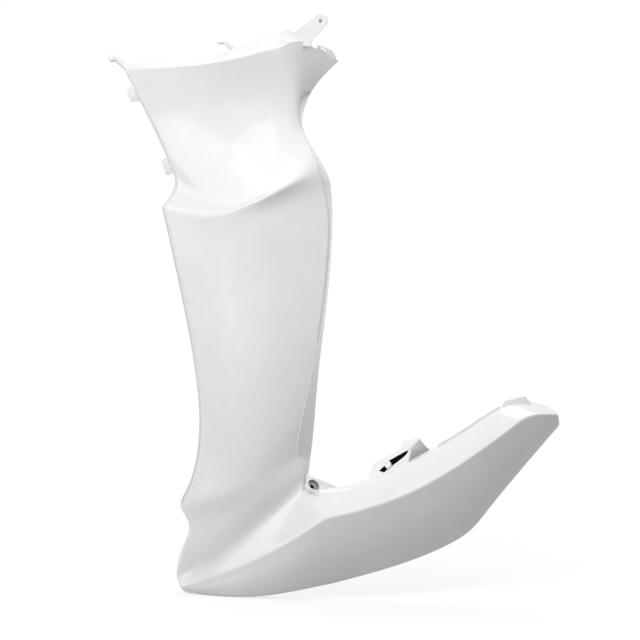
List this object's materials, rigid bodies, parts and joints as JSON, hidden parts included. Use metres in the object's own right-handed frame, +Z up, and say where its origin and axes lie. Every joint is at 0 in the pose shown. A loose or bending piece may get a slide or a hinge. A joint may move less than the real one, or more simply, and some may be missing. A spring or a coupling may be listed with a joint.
{
  "type": "scooter side panel",
  "caption": "Gloss white moulded scooter side panel: flared wing, leg shield and raked floor side, with screw lug, eyelet arm, hooks and clips.",
  "frame": {"origin": "mouth of the floor screw's bore, on the floor of the screw's recess", "axes": "-X to the front of the scooter, -Y outboard (the face that shows), +Z up the leg shield as it stands in the picture"},
  "size_m": [0.5466, 0.1006, 0.7104],
  "materials": {
    "white_plastic": "gloss"
  },
  "bodies": {
    "root": {"side_panel": "white_plastic"}
  },
  "joints": []
}
